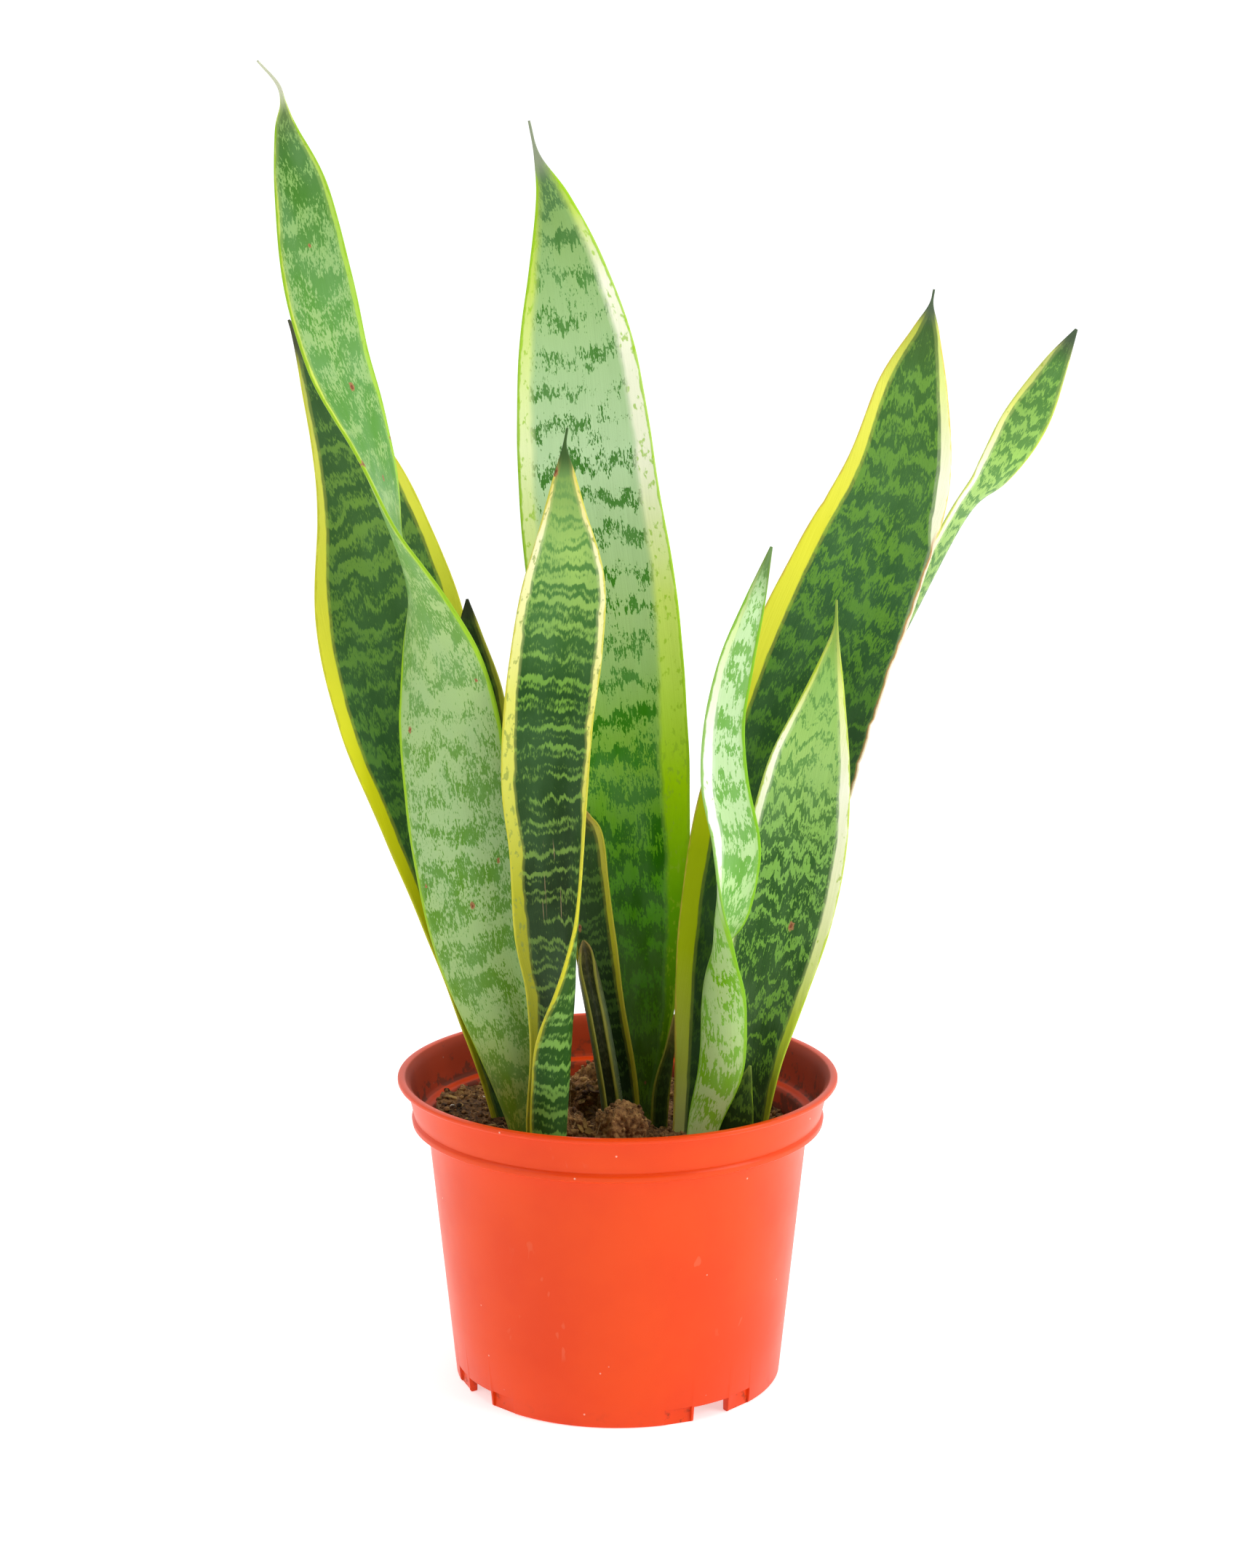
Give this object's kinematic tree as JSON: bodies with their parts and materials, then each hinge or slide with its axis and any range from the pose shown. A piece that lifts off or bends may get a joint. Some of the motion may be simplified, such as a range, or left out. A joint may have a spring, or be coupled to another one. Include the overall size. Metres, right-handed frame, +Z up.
{
  "type": "potted snake plant",
  "caption": "Variegated snake plant with upright, twisted and channelled sword leaves, growing in an orange-red round nursery pot.",
  "frame": {"origin": "On the floor, under the middle of the plant's whole width and depth. The pot's axis is 24 mm to the left, at x = -0.024.", "axes": "+Z up, along the leaves. -Y is the front, the side that the short front leaf faces. +X is to the right seen from the front."},
  "size_m": [0.3068, 0.17, 0.5003],
  "materials": {
    "pot_plastic": "satin moulded plastic, orange-red, with fine scratches and soil dust",
    "soil": "rough, fibrous peat potting mix with perlite and bark",
    "leaf_pale": "waxy satin leaf, pale grey-green with darker mottling and lime margins",
    "leaf_dark": "waxy satin leaf, dark green cross bands with yellow margins"
  },
  "bodies": {
    "root": {"nursery_pot": "pot_plastic", "potting_soil": "soil", "soil_clod_1": "soil", "soil_clod_2": "soil", "soil_clod_3": "soil", "soil_clod_4": "soil", "soil_clod_5": "soil", "soil_clod_6": "soil", "soil_clod_7": "soil", "leaf_tall_left": "leaf_pale", "leaf_tall_center": "leaf_pale", "leaf_twisted_right": "leaf_pale", "leaf_front_right": "leaf_pale", "leaf_rear_left": "leaf_dark", "leaf_inner_left": "leaf_dark", "leaf_front_center": "leaf_dark", "leaf_short_center": "leaf_dark", "leaf_spear_center": "leaf_dark", "leaf_sprout_center": "leaf_dark", "leaf_broad_right": "leaf_dark", "leaf_far_right": "leaf_dark", "leaf_sprout_right": "leaf_dark"}
  },
  "joints": []
}
